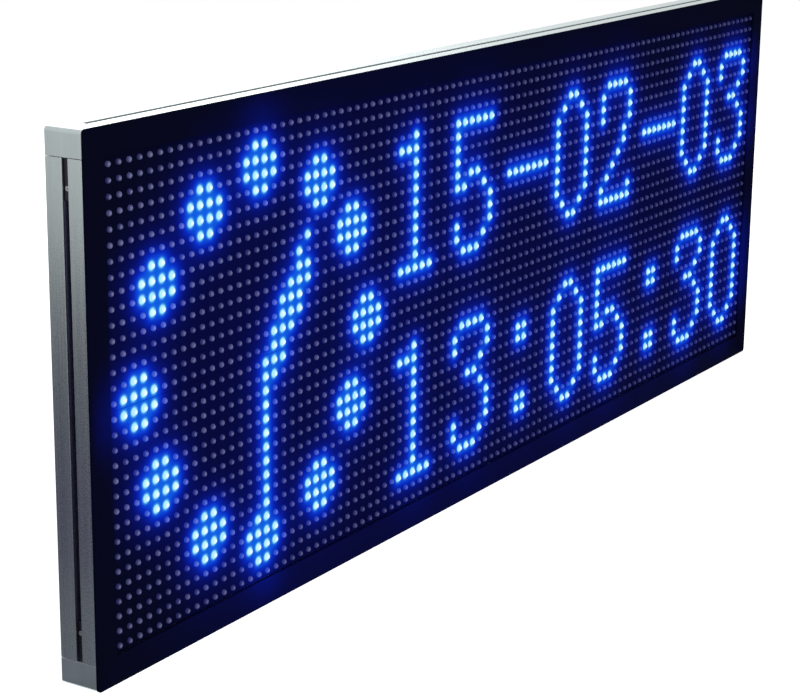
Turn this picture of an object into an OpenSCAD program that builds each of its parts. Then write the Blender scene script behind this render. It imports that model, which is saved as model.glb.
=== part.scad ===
// LED matrix sign: a grid of round lamps shows a clock face, a date and a time, in a slim
// frame of slotted aluminium rails. X runs along the sign, the lamps face -Y and +Z is up.
// The origin is at the middle of the base. Depths are counted from the front face backwards.

/* [Reading] */
// Hour shown by the hands and the time line
show_hour = 13; // [0:1:23]
// Minute shown by the hands and the time line
show_minute = 5; // [0:1:59]
// Second shown by the hands and the time line
show_second = 30; // [0:1:59]
// Last two digits of the year in the date line
show_year = 15; // [0:1:99]
// Month in the date line
show_month = 2; // [1:1:12]
// Day in the date line
show_day = 3; // [1:1:31]

/* [Lamps] */
// Distance between neighbouring lamps
pitch = 10; // [9:0.5:14]
// Diameter of a lamp
lamp_d = 4; // [3:0.1:5.5]
// Height of a lamp over its board
lamp_h = 2.2; // [1.8:0.1:3]
// Height of the domed top of a lamp
dome_rise = 1.2; // [0.8:0.1:1.4]
// Setback of the lamps' tips behind the front face
lamp_setback = 0.2; // [0:0.1:1]

/* [Frame] */
// From the frame's outer face to the edge of the lamp modules
margin = 19; // [17:0.5:30]
// Depth of the sign from front to back
depth = 30; // [29:1:60]
// Thickness of a rail's outer wall
wall = 1.8; // [1.4:0.1:2.4]
// Radius of the frame's outer corners
corner_r = 3; // [3:0.5:12]
// Gap between a corner piece and the module behind its elbow
corner_gap = 1; // [0.5:0.1:2]
// Gap at the joint of a rail and a corner piece
joint_gap = 0.3; // [0.1:0.1:0.6]
// Width of the slot's mouth
slot_w = 4.6; // [4.4:0.2:7]
// Width of the slot behind its lips
slot_room = 10; // [9:0.5:12]
// Height of the slot behind its lips
slot_rise = 3.2; // [2.6:0.1:4]
// Chamfer along the slot's lips
lip_chamfer = 0.3; // [0.2:0.1:0.8]
// Thickness of the slot's floor and sides
channel_wall = 1.5; // [1.2:0.1:2]
// Thickness of a rail's front flange
flange_t = 2; // [1.6:0.1:3]
// Reach of a rail's rear flange from the outer face
seat_w = 11; // [10:0.5:14]
// Thickness of a rail's rear flange
seat_t = 1.8; // [1.4:0.1:2.4]

/* [Bezel] */
// Thickness of a bezel strip
bezel_t = 1.6; // [1.2:0.1:2]
// Gap between a bezel strip and the modules
bezel_gap = 0.3; // [0.2:0.1:1]
// Width of the rib behind a bezel strip
rib_w = 1.6; // [1.2:0.1:2.4]
// Height of the rib behind a bezel strip
rib_h = 0.9; // [0.6:0.1:1.2]

/* [Corner fastening] */
// From a rail's end to its corner screw
screw_inset = 19; // [12:1:26]
// Diameter of a corner screw
grub_d = 3; // [2.5:0.5:4]
// Play of a tenon in its slot
tenon_fit = 0.15; // [0.1:0.05:0.3]

/* [Modules] */
// Gap between neighbouring boards
module_gap = 0.4; // [0.2:0.1:1]
// Thickness of a circuit board
board_t = 1.6; // [1.2:0.1:2]
// Depth of a module's moulded back frame
shell_t = 8; // [7:0.5:9]
// Thickness of a back frame's outer wall
shell_wall = 2; // [1.6:0.1:3]
// Thickness of a back frame's ribs
shell_rib = 1.6; // [1.2:0.1:2.4]
// Inset of a back frame from its board's edge
shell_inset = 1; // [0.5:0.1:2]
// Diameter of the bosses in a back frame
boss_d = 8; // [7:0.5:10]
// From a module's upper and lower edges to its bosses
boss_inset = 20; // [14:1:22]

/* [Crossbars] */
// Thickness of a crossbar
bar_t = 2; // [1.5:0.1:3]
// Width of a crossbar behind a seam of two modules
bar_w = 30; // [26:1:36]
// Width of a crossbar behind the end of a module
end_bar_w = 20; // [17:1:26]
// Reach of a crossbar's feet past the middle of the slot
foot_reach = 6; // [5:0.5:8]

/* [Back cover] */
// Thickness of the back cover
cover_t = 1.2; // [0.8:0.1:2]
// Setback of the back cover behind the frame's rear rim
cover_setback = 1.5; // [1.3:0.1:3]
// Gap round the back cover
cover_gap = 0.3; // [0.2:0.1:1]
// Width of a vent slot
vent_w = 3; // [2:0.2:4]
// Length of a vent slot
vent_l = 36; // [20:2:40]
// Diameter of the hole for the mains grommet
grommet_hole = 14; // [10:1:18]

/* [Power and control] */
// Length of the power supply
supply_l = 200; // [160:5:220]
// Height of the power supply
supply_h = 58; // [40:2:64]
// Thickness of the power supply
supply_t = 12; // [10:0.5:14]
// Width of the control card
card_w = 60; // [50:2:70]
// Height of the control card
card_h = 90; // [80:2:110]
// Height of the control card over the back cover
standoff_h = 4; // [3:0.5:5]
// Width of a ribbon cable
ribbon_w = 20; // [16:1:22]
// Thickness of a ribbon cable
ribbon_t = 1; // [0.8:0.1:1.2]

/* [Screws] */
// Diameter of the small screws
screw_d = 3; // [2.5:0.5:3.5]
// Diameter of a small screw's head
head_d = 5.5; // [5:0.1:6]
// Height of a small screw's head
head_h = 1.3; // [1:0.1:1.3]
// Play of a screw in its hole
screw_play = 0.2; // [0.1:0.05:0.4]

/* [Hidden] */
$fn = 48;
lamp_fn = 24;
slack = 1;
modules_across = 3;
modules_down = 2;
module_cols = 32;
module_rows = 16;
module_count = modules_across * modules_down;
module_w = module_cols * pitch;
module_h = module_rows * pitch;
field_w = modules_across * module_w;
field_h = modules_down * module_h;
width = field_w + 2 * margin;
height = field_h + 2 * margin;

// Depths, front to back
slot_mid = depth / 2;
board_front = lamp_h + lamp_setback;
board_back = board_front + board_t;
shell_back = board_back + shell_t;
bar_back = shell_back + bar_t;
cover_out = depth - cover_setback;
cover_in = cover_out - cover_t;
seat_front = cover_in - seat_t;

// Rails and corners
corner_leg = margin - corner_gap;
corner_step = 0.4;
corner_wall = wall + corner_step;
channel_u = wall + slot_rise + channel_wall;
flange_w = corner_leg;
rib_u = flange_w / 2;
rib_play = 0.1;
rib_end = 2;
bezel_w = margin - bezel_gap;
tenon_end = 6;
tenon_l = screw_inset + grub_d / 2 + tenon_end;
grub_sink = wall + tenon_fit;
grub_socket = 1.5;
grub_socket_deep = 1.2;
rail_across = width - 2 * (corner_leg + joint_gap);
rail_down = height - 2 * (corner_leg + joint_gap);
SIDES = ["top", "bottom", "left", "right"];
CORNERS = ["top_left", "top_right", "bottom_left", "bottom_right"];

// Module back frames
window_cols = 4;
window_rows = 2;
shell_w = module_w - 2 * shell_inset;
shell_h = module_h - 2 * shell_inset;
window_w = (shell_w - 2 * shell_wall - (window_cols - 1) * shell_rib) / window_cols;
window_h = (shell_h - 2 * shell_wall - (window_rows - 1) * shell_rib) / window_rows;
boss_bite = 0.5;
boss_x = module_w / 2 - shell_inset - shell_wall - boss_d / 2 + boss_bite;
boss_z = module_h / 2 - boss_inset;

// Parts on the boards
chip = [4, 1.5, 10];
chip_spread = 12;
chip_drop = 18;
header_wall = 1.2;
header_floor = 2.5;
header_w = 9;
plug_fit = 0.2;
plug_w = header_w - 2 * (header_wall + plug_fit);
plug_l = ribbon_w - 2 * (header_wall + plug_fit);
socket_w = 12;
socket_h = 8;

// Crossbars, ribbons, loom, supply and card
bar_count = modules_across + 1;
foot_screw_gap = 0.5;
foot_screw_mid = max(slot_mid, bar_back + head_d / 2 + foot_screw_gap);
ribbon_gap = 1.6;
ribbon_front = bar_back + ribbon_gap;
ribbon_back = ribbon_front + ribbon_t;
supply_front = cover_in - supply_t;
terminal_w = 12;
terminal_h = 50;
terminal_t = 11;
bay_count = 7;
bay_w = 5;
bay_deep = 6;
loom_w = 6;
loom_t = 2;
loom_front = cover_in - terminal_t / 2 - loom_t / 2;
supply_screw_inset = [25, 12];
supply_screw_x = supply_l / 2 - supply_screw_inset[0];
supply_screw_z = supply_h / 2 - supply_screw_inset[1];
supply_screw_l = 6;
supply_vent = [2.4, 30];
supply_vent_deep = 0.8;
supply_vent_count = 18;
supply_vent_step = 6;
card_t = 1.6;
card_back = cover_in - standoff_h;
card_front = card_back - card_t;
card_offset = module_w / 4;
card_x = module_x(1) - card_offset;
card_header_z = 20;
card_header_h = 4;
standoff_d = 5;
standoff_inset = 6;
card_header_mouth = card_front - card_header_h;

// Back cover fittings
cover_screw_u = (wall + seat_w) / 2;
cover_screw_l = 5;
cover_screws_across = 5;
cover_screws_down = 2;
module_screw_l = 7;
vent_count = 10;
vent_step = 9;
vent_x = module_w;
vent_z = 0.6 * module_h;
grommet_x = 0.75 * module_w;
grommet_z = height / 2 - 0.3 * module_h;
grommet_lip = 3;
grommet_lip_t = 1.2;
grommet_web = 1;
grommet_wall = 2;

// Layout of the reading, in lamps
clock_cols = 32;
mark_count = 12;
hour_step = 360 / 12;
minute_step = 360 / 60;
mark_ring = 13;
mark_r = 2;
ring_mid = 15.5;
hub = [16, 17];
hour_reach = 7;
minute_reach = 9;
second_reach = 9;
hour_thick = 2;
glyph_cols = 8;
glyph_rows = 16;
glyph_top = 3;
DASH = 10;
COLON = 11;

// Strokes of the digits, the dash and the colon: corners of straight runs of lamps, [column, row]
GLYPHS = [
    [[[3, 0], [1, 2], [1, 8], [3, 10], [4, 10], [6, 8], [6, 2], [4, 0], [3, 0]]],
    [[[1, 1], [3, 1]], [[3, 0], [3, 10]], [[1, 10], [5, 10]]],
    [[[1, 3], [1, 1], [2, 0], [5, 0], [6, 1], [6, 3], [5, 4], [5, 5], [1, 9], [1, 10], [6, 10], [6, 9]]],
    [[[1, 2], [1, 1], [2, 0], [5, 0], [6, 1], [6, 2], [4, 4], [3, 4]],
     [[4, 4], [6, 6], [6, 8], [4, 10], [2, 10], [1, 9], [1, 8]]],
    [[[5, 0], [5, 10]], [[5, 0], [2, 3], [2, 4], [1, 5], [1, 7], [6, 7]], [[3, 10], [6, 10]]],
    [[[6, 0], [1, 0], [1, 5], [2, 5], [3, 4], [4, 4], [6, 6], [6, 8], [4, 10], [2, 10], [1, 9], [1, 8]]],
    [[[5, 1], [5, 0], [3, 0], [1, 2], [1, 8], [3, 10], [4, 10], [6, 8], [6, 6], [4, 4], [3, 4], [2, 5]]],
    [[[1, 2], [1, 0], [6, 0], [5, 1], [5, 2], [4, 3], [4, 4], [3, 5], [3, 10]]],
    [[[2, 0], [5, 0], [6, 1], [6, 3], [4, 5], [3, 5], [1, 3], [1, 1], [2, 0]],
     [[4, 5], [6, 7], [6, 9], [5, 10], [2, 10], [1, 9], [1, 7], [3, 5]]],
    [[[5, 5], [4, 6], [3, 6], [1, 4], [1, 2], [3, 0], [4, 0], [6, 2], [6, 8], [4, 10], [2, 10], [2, 9]]],
    [[[1, 5], [7, 5]]],
    [[[3, 2], [4, 2], [4, 3], [3, 3]], [[3, 8], [4, 8], [4, 9], [3, 9]]]
];

function two_digits(n) = [floor(n / 10), n % 10];
DATE_LINE = concat(two_digits(show_year), [DASH], two_digits(show_month), [DASH], two_digits(show_day));
TIME_LINE =
    concat(two_digits(show_hour), [COLON], two_digits(show_minute), [COLON], two_digits(show_second));

// Does a lamp lie on the straight run of lamps from a to b?
function on_run(p, a, b) =
    let (v = b - a, w = p - a)
    v[0] * w[1] == v[1] * w[0]
    && min(a[0], b[0]) <= p[0] && p[0] <= max(a[0], b[0])
    && min(a[1], b[1]) <= p[1] && p[1] <= max(a[1], b[1]);

function on_stroke(p, stroke) =
    len([for (i = [0 : len(stroke) - 2]) if (on_run(p, stroke[i], stroke[i + 1])) i]) > 0;

function on_glyph(p, strokes) = len([for (s = strokes) if (on_stroke(p, s)) 1]) > 0;

function on_line(c, r) =
    let (line = r < glyph_rows ? DATE_LINE : TIME_LINE, k = c - clock_cols)
    on_glyph([k % glyph_cols, r % glyph_rows - glyph_top], GLYPHS[line[floor(k / glyph_cols)]]);

// A hand runs one row or one column at a time, whichever it crosses more of.
function on_hand(c, r, angle, reach, thick) =
    let (
        right = c - hub[0],
        up = hub[1] - r,
        steep = abs(cos(angle)) >= abs(sin(angle)),
        along = steep ? up * sign(cos(angle)) : right * sign(sin(angle)),
        lead = (thick - 1) / 2,
        step = steep ? right - floor(lead + up * tan(angle)) : up - floor(lead + right / tan(angle))
    )
    along >= 0 && along <= reach && step >= 0 && step < thick;

function on_mark(c, r) =
    len([
        for (i = [0 : mark_count - 1])
            let (
                a = 360 * i / mark_count,
                x = ring_mid + floor(mark_ring * sin(a) + 0.5),
                y = ring_mid - floor(mark_ring * cos(a) + 0.5)
            )
            if (norm([c - x, r - y]) < mark_r) i
    ]) > 0;

function on_clock(c, r) =
    on_mark(c, r)
    || on_hand(c, r, hour_step * (show_hour + show_minute / 60), hour_reach, hour_thick)
    || on_hand(c, r, minute_step * show_minute, minute_reach, 1)
    || on_hand(c, r, minute_step * show_second, second_reach, 1);

function is_lit(c, r) = c < clock_cols ? on_clock(c, r) : on_line(c, r);

// Modules are numbered from 1, along the upper row and then along the lower one.
function module_col(m) = (m - 1) % modules_across;
function module_row(m) = floor((m - 1) / modules_across);
function module_x(m) = (module_col(m) - (modules_across - 1) / 2) * module_w;
function module_z(m) = height - margin - (module_row(m) + 0.5) * module_h;
function window_x(i) = (i - (window_cols - 1) / 2) * (window_w + shell_rib);
function window_z(j) = (j - (window_rows - 1) / 2) * (window_h + shell_rib);
function lamp_x(c) = (c + 0.5) * pitch - field_w / 2;
function lamp_z(r) = height - margin - (r + 0.5) * pitch;

// Crossbars are numbered from 1, left to right: at the ends of the field and at the seams.
function bar_is_end(i) = i == 1 || i == bar_count;
function bar_width(i) = bar_is_end(i) ? end_bar_w : bar_w;
function bar_x(i) =
    let (edge = -field_w / 2 + (i - 1) * module_w)
    edge + (i == 1 ? end_bar_w / 2 : i == bar_count ? -end_bar_w / 2 : 0);

// Places along a rail, from its middle
function is_across(side) = side == "top" || side == "bottom";
function rail_length(side) = is_across(side) ? rail_across : rail_down;
function cover_screw_spots(side) =
    let (n = is_across(side) ? cover_screws_across : cover_screws_down, step = rail_length(side) / n)
    [for (i = [0 : n - 1]) (i - (n - 1) / 2) * step];

// Extrudes an outline drawn in X and Z from one depth to another.
module slab(from, to) {
    translate([0, to - depth / 2, 0]) rotate([90, 0, 0]) linear_extrude(to - from) children();
}

// Stands a shape drawn along +Z on a depth, pointing back.
module pointing_back(x, d, z) {
    translate([x, d - depth / 2, z]) rotate([-90, 0, 0]) children();
}

// Places a rail's own axes (X inwards, Y back, Z along) on a side of the sign.
module on_side(side) {
    if (side == "left") translate([-width / 2, -depth / 2, height / 2]) children();
    if (side == "right") mirror([1, 0, 0]) on_side("left") children();
    if (side == "bottom") translate([0, -depth / 2, 0]) rotate([0, -90, 0]) children();
    if (side == "top") translate([0, 0, height]) mirror([0, 0, 1]) on_side("bottom") children();
}

// Places a lower left corner's own axes (X right, Y back, Z up) on a corner of the sign.
module on_corner(corner) {
    right = corner == "top_right" || corner == "bottom_right";
    top = corner == "top_left" || corner == "top_right";
    translate([0, 0, top ? height : 0]) mirror([0, 0, top ? 1 : 0]) mirror([right ? 1 : 0, 0, 0])
        translate([-width / 2, 0, 0]) children();
}

// A square from the origin with its corner at the origin rounded
module elbow_outline(size, r) {
    difference() {
        square(size);
        difference() {
            square(r);
            translate([r, r]) circle(r);
        }
    }
}

// The sign's front outline, drawn in by an inset
module frame_outline(inset) {
    w = width - 2 * inset;
    h = height - 2 * inset;
    r = corner_r - inset;
    translate([-w / 2, inset]) difference() {
        square([w, h]);
        for (right = [0, 1], top = [0, 1])
            translate([right * w, top * h]) mirror([right, 0]) mirror([0, top]) difference() {
                square(r);
                translate([r, r]) circle(r);
            }
    }
}

// Section of a rail: X inwards from the outer face, Y back from the sign's front
module rail_section() {
    difference() {
        union() {
            translate([0, bezel_t]) square([wall, depth - bezel_t]);
            translate([0, bezel_t]) square([flange_w, flange_t]);
            translate([0, slot_mid - slot_room / 2 - channel_wall])
                square([channel_u, slot_room + 2 * channel_wall]);
            translate([0, seat_front]) square([seat_w, seat_t]);
        }
        translate([wall, slot_mid - slot_room / 2]) square([slot_rise, slot_room]);
        translate([-slack, slot_mid - slot_w / 2]) square([wall + 2 * slack, slot_w]);
        polygon([
            [-lip_chamfer, slot_mid - slot_w / 2 - 2 * lip_chamfer],
            [lip_chamfer, slot_mid - slot_w / 2],
            [lip_chamfer, slot_mid + slot_w / 2],
            [-lip_chamfer, slot_mid + slot_w / 2 + 2 * lip_chamfer]
        ]);
        translate([rib_u - rib_play, bezel_t - slack])
            square([rib_w + 2 * rib_play, rib_h + rib_play + slack]);
    }
}

// A slotted rail with the holes for the cover's screws and, along the sign, the crossbars' feet
module rail(side) {
    color("#b9bdc0") on_side(side) difference() {
        linear_extrude(rail_length(side), center = true) rail_section();
        for (s = cover_screw_spots(side))
            translate([cover_screw_u, seat_front - slack, s]) rotate([-90, 0, 0])
                cylinder(d = screw_d + 2 * screw_play, h = seat_t + 2 * slack);
        if (is_across(side))
            for (i = [1 : bar_count])
                translate([wall + slot_rise / 2, foot_screw_mid, bar_x(i)]) rotate([0, 90, 0])
                    cylinder(d = screw_d + 2 * screw_play, h = channel_u);
    }
}

// One leg of a corner's tenon, along X
module tenon() {
    translate([corner_r / 2, slot_mid - slot_room / 2 + tenon_fit - depth / 2, wall + tenon_fit])
        cube([corner_leg + tenon_l - corner_r / 2, slot_room - 2 * tenon_fit, slot_rise - 2 * tenon_fit]);
}

// A screw or its hole, in a tenon's leg along X, from the slot's floor to past the tenon's face
module grub(d, past = 0) {
    translate([corner_leg + screw_inset, slot_mid - depth / 2, grub_sink - past])
        cylinder(d = d, h = wall + slot_rise - grub_sink + past);
}

// Turns a corner's leg along X into its leg along Z.
module both_legs() {
    children();
    mirror([1, 0, -1]) children();
}

// A cast corner: wrapped walls with a front plate and a rear seat, and a tenon into each rail
module corner_piece(corner) {
    room = corner_leg + slack;
    color("#b4b8bb") on_corner(corner) difference() {
        union() {
            difference() {
                slab(bezel_t, depth) elbow_outline(corner_leg, corner_r);
                slab(bezel_t + flange_t, seat_front) translate([corner_wall, corner_wall])
                    elbow_outline(room, corner_r - corner_wall);
                slab(cover_in, depth + slack) translate([wall, wall]) elbow_outline(room, corner_r - wall);
            }
            both_legs() tenon();
        }
        both_legs() grub(grub_d + 2 * screw_play, slack);
    }
}

// Screws in the slots that lock the tenons, each with a hexagon socket
module corner_screws() {
    color("#9a9da0") for (corner = CORNERS) on_corner(corner) both_legs() difference() {
        grub(grub_d);
        translate([corner_leg + screw_inset, slot_mid - depth / 2, grub_sink - slack])
            cylinder(d = grub_socket, h = grub_socket_deep + slack, $fn = 6);
    }
}

// Places a bezel's own axes (X along, Y inwards from the outer edge) on a side of the front.
module on_edge(side) {
    if (side == "bottom") children();
    if (side == "top") translate([0, height]) rotate(180) children();
    if (side == "left") translate([-width / 2, height / 2]) rotate(-90) children();
    if (side == "right") translate([width / 2, height / 2]) rotate(90) children();
}

// A flat black strip over a rail's front flange, mitred at its ends, with a rib in the flange's groove
module bezel(side) {
    half = is_across(side) ? width / 2 : height / 2;
    color("#101014") {
        slab(0, bezel_t) intersection() {
            frame_outline(0);
            on_edge(side)
                polygon([[-half, 0], [half, 0], [half - bezel_w, bezel_w], [bezel_w - half, bezel_w]]);
        }
        on_side(side) translate([rib_u, bezel_t, rib_end - rail_length(side) / 2])
            cube([rib_w, rib_h, rail_length(side) - 2 * rib_end]);
    }
}

// The black circuit board at the front of a module
module board(m) {
    color("#0c0d12") slab(board_front, board_back) translate([module_x(m), module_z(m)])
        square([module_w - module_gap, module_h - module_gap], center = true);
}

// One lamp: a round body with a domed top, its base on the board
module lamp() {
    r = lamp_d / 2;
    dome_r = (r * r + dome_rise * dome_rise) / (2 * dome_rise);
    rotate([90, 0, 0]) rotate_extrude($fn = lamp_fn) intersection() {
        translate([0, lamp_h - dome_r]) circle(dome_r, $fn = 2 * lamp_fn);
        square([r, lamp_h]);
    }
}

// The lamps of a module that are lit, or the ones that are dark
module lamps(m, lit) {
    for (i = [0 : module_cols - 1], j = [0 : module_rows - 1]) {
        c = module_col(m) * module_cols + i;
        r = module_row(m) * module_rows + j;
        if (is_lit(c, r) == lit)
            translate([lamp_x(c), board_front - depth / 2, lamp_z(r)]) lamp();
    }
}

module lamps_dark(m) { color("#6b6c76") lamps(m, false); }

module lamps_lit(m) { color("#4f8cff") lamps(m, true); }

// A module's moulded back frame: a wall with ribs round open windows, and bosses for the screws
module shell(m) {
    color("#1b1c20") slab(board_back, shell_back) translate([module_x(m), module_z(m)]) difference() {
        union() {
            difference() {
                square([shell_w, shell_h], center = true);
                for (i = [0 : window_cols - 1], j = [0 : window_rows - 1])
                    translate([window_x(i), window_z(j)]) square([window_w, window_h], center = true);
            }
            for (sx = [-1, 1], sz = [-1, 1]) translate([sx * boss_x, sz * boss_z]) circle(d = boss_d);
        }
        for (sx = [-1, 1], sz = [-1, 1])
            translate([sx * boss_x, sz * boss_z]) circle(d = screw_d + 2 * screw_play);
    }
}

// Driver chips, two in each window of each module's back frame
module driver_chips() {
    color("#24252a") for (m = [1 : module_count], i = [0 : window_cols - 1], j = [0 : window_rows - 1])
        for (side = [-1, 1])
            translate([
                module_x(m) + window_x(i) + side * chip_spread - chip[0] / 2,
                board_back - depth / 2,
                module_z(m) + window_z(j) - chip_drop - chip[2] / 2
            ]) cube(chip);
}

// A box header drawn on a board: its floor at a depth, its mouth back at another
module header(x, z, from, to, turned) {
    size = turned ? [ribbon_w, header_w] : [header_w, ribbon_w];
    inner = size - 2 * header_wall * [1, 1];
    way = sign(to - from);
    floor_end = from + way * header_floor;
    open_end = to + way * slack;
    translate([x, 0, z]) difference() {
        slab(min(from, to), max(from, to)) square(size, center = true);
        slab(min(floor_end, open_end), max(floor_end, open_end)) square(inner, center = true);
    }
}

// Ribbon headers, one at each end of each module
module ribbon_headers() {
    color("#2a2b30") for (m = [1 : module_count], i = [0, window_cols - 1])
        header(module_x(m) + window_x(i), module_z(m) + window_z(1), board_back, shell_back, false);
}

// Power sockets, one to a module
module power_sockets() {
    color("#d8d6cc") for (m = [1 : module_count])
        slab(board_back, shell_back) translate([module_x(m) + window_x(2), module_z(m) + window_z(0)])
            square([socket_w, socket_h], center = true);
}

// A ribbon's plug, from the floor of a module's header to the back of the ribbon
module module_plug(x, z) {
    slab(board_back + header_floor, ribbon_front) translate([x, z]) square([plug_w, plug_l], center = true);
}

// Ribbon cables from each module to the next in its row, over the crossbars
module ribbon_jumpers() {
    color("#8f9297") for (m = [1 : module_count]) if (module_col(m) < modules_across - 1) {
        x0 = module_x(m) + window_x(window_cols - 1);
        x1 = module_x(m + 1) + window_x(0);
        z = module_z(m) + window_z(1);
        slab(ribbon_front, ribbon_back) translate([x0 - plug_w / 2, z - ribbon_w / 2])
            square([x1 - x0 + plug_w, ribbon_w]);
        module_plug(x0, z);
        module_plug(x1, z);
    }
}

// Ribbon cables from the control card to the first module of each row, each folded once
module row_ribbons() {
    color("#8f9297") for (row = [0 : modules_down - 1]) {
        m = 1 + row * modules_across;
        x = module_x(m) + window_x(0);
        z = module_z(m) + window_z(1);
        up = row == 0 ? 1 : -1;
        end_z = height / 2 + up * card_header_z;
        slab(ribbon_front, ribbon_back) {
            translate([x - plug_w / 2, z - ribbon_w / 2]) square([card_x - x + plug_w / 2, ribbon_w]);
            translate([card_x - ribbon_w / 2, min(z, end_z) - plug_w / 2])
                square([ribbon_w, abs(z - end_z) + plug_w / 2 + (up > 0 ? ribbon_w / 2 : plug_w / 2)]);
        }
        module_plug(x, z);
        slab(ribbon_back, card_front - header_floor) translate([card_x, end_z])
            square([plug_l, plug_w], center = true);
    }
}

// Low-voltage loom: a trunk by the supply, a branch along each row and a drop to each socket
module power_loom() {
    trunk_x = supply_l / 2 + terminal_w + loom_w / 2;
    row_z = [for (row = [0 : modules_down - 1]) module_z(1 + row * modules_across) + window_z(0)];
    color("#7a1f22") {
        slab(loom_front, loom_front + loom_t) {
            translate([trunk_x - loom_w / 2, min(row_z)]) square([loom_w, max(row_z) - min(row_z)]);
            for (z = row_z) translate([module_x(1) + window_x(2) - loom_w / 2, z - loom_w / 2])
                square([module_x(modules_across) - module_x(1) + loom_w, loom_w]);
        }
        for (m = [1 : module_count])
            slab(shell_back, loom_front) translate([module_x(m) + window_x(2), module_z(m) + window_z(0)])
                square(loom_w, center = true);
    }
}

// A folded strip across the back of the modules, with a foot on each long rail
module crossbar(i) {
    w = bar_width(i);
    foot_end = slot_mid + foot_reach;
    color("#a9adb0") difference() {
        union() {
            slab(shell_back, bar_back) translate([bar_x(i) - w / 2, channel_u])
                square([w, height - 2 * channel_u]);
            for (z = [channel_u, height - channel_u - bar_t])
                slab(shell_back, foot_end) translate([bar_x(i) - w / 2, z]) square([w, bar_t]);
        }
        for (m = [1 : module_count], sx = [-1, 1], sz = [-1, 1])
            pointing_back(module_x(m) + sx * boss_x, shell_back - slack, module_z(m) + sz * boss_z)
                cylinder(d = screw_d + 2 * screw_play, h = bar_t + 2 * slack);
        translate([bar_x(i), foot_screw_mid - depth / 2, 0])
            cylinder(d = screw_d + 2 * screw_play, h = height);
    }
}

// A pan-head screw along Z: its head above the origin and its shank below
module pan_screw(shank) {
    cylinder(d = head_d, h = head_h);
    translate([0, 0, -shank]) cylinder(d = screw_d, h = shank + slack / 2);
}

// Screws through the crossbars into the bosses of the modules
module module_screws() {
    color("#8d9094") for (m = [1 : module_count], sx = [-1, 1], sz = [-1, 1])
        pointing_back(module_x(m) + sx * boss_x, bar_back, module_z(m) + sz * boss_z)
            pan_screw(module_screw_l);
}

// Screws through the crossbars' feet into the floors of the slots
module foot_screws() {
    shank = bar_t + channel_wall;
    color("#8d9094") for (i = [1 : bar_count]) {
        translate([bar_x(i), foot_screw_mid - depth / 2, channel_u + bar_t]) pan_screw(shank);
        translate([bar_x(i), foot_screw_mid - depth / 2, height - channel_u - bar_t])
            mirror([0, 0, 1]) pan_screw(shank);
    }
}

// The folded case of the power supply, flat on the inside of the back cover, with a row of vents
module power_supply() {
    color("#c2c6c8") difference() {
        slab(supply_front, cover_in) translate([0, height / 2]) square([supply_l, supply_h], center = true);
        for (sx = [-1, 1], sz = [-1, 1])
            pointing_back(sx * supply_screw_x, cover_in - supply_screw_l, height / 2 + sz * supply_screw_z)
                cylinder(d = screw_d + 2 * screw_play, h = supply_screw_l + slack);
        for (k = [0 : supply_vent_count - 1])
            slab(supply_front - slack, supply_front + supply_vent_deep)
                translate([(k - (supply_vent_count - 1) / 2) * supply_vent_step, height / 2])
                    square(supply_vent, center = true);
    }
}

// The terminal block at the end of the power supply, with a bay for each wire
module supply_terminals() {
    front = cover_in - terminal_t;
    color("#1e1f22") difference() {
        slab(front, cover_in) translate([supply_l / 2, height / 2 - terminal_h / 2])
            square([terminal_w, terminal_h]);
        for (k = [0 : bay_count - 1])
            slab(front - slack, front + bay_deep) translate([
                supply_l / 2 + terminal_w / 4,
                height / 2 + (k - (bay_count - 1) / 2) * terminal_h / bay_count - bay_w / 2
            ]) square([terminal_w, bay_w]);
    }
}

// Spots of the control card's standoffs
module at_standoffs() {
    for (sx = [-1, 1], sz = [-1, 1])
        pointing_back(
            card_x + sx * (card_w / 2 - standoff_inset),
            card_back,
            height / 2 + sz * (card_h / 2 - standoff_inset)
        ) children();
}

module control_card() {
    color("#1d5a3a") slab(card_front, card_back) translate([card_x, height / 2])
        square([card_w, card_h], center = true);
}

// Headers and chips on the card's front
module card_parts() {
    color("#26272b") {
        for (up = [-1, 1])
            header(card_x, height / 2 + up * card_header_z, card_front, card_header_mouth, true);
        slab(card_front - chip[1], card_front) translate([card_x, height / 2])
            square(chip[2], center = true);
    }
}

module card_standoffs() {
    color("#c9b37a") at_standoffs() cylinder(d = standoff_d, h = standoff_h);
}

// Spots of the cover's screws, with Z pointing back from the cover's outer face
module at_cover_screws() {
    for (side = SIDES)
        on_side(side) for (s = cover_screw_spots(side))
            translate([cover_screw_u, cover_out, s]) rotate([-90, 0, 0]) children();
}

// A vent slot with round ends, drawn upright at the origin
module vent_slot() {
    square([vent_w, vent_l - vent_w], center = true);
    for (up = [-1, 1]) translate([0, up * (vent_l - vent_w) / 2]) circle(d = vent_w);
}

// The sheet that closes the back, seated on the rails' rear flanges
module back_cover() {
    color("#2b2d31") difference() {
        slab(cover_in, cover_out) difference() {
            frame_outline(wall + cover_gap);
            for (sx = [-1, 1], sz = [-1, 1], k = [0 : vent_count - 1])
                translate([
                    sx * vent_x + (k - (vent_count - 1) / 2) * vent_step,
                    height / 2 + sz * vent_z
                ]) vent_slot();
            translate([grommet_x, grommet_z]) circle(d = grommet_hole);
        }
        at_cover_screws() translate([0, 0, -cover_t - slack])
            cylinder(d = screw_d + 2 * screw_play, h = cover_t + 2 * slack);
        for (sx = [-1, 1], sz = [-1, 1])
            pointing_back(sx * supply_screw_x, cover_in - slack, height / 2 + sz * supply_screw_z)
                cylinder(d = screw_d + 2 * screw_play, h = cover_t + 2 * slack);
    }
}

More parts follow.
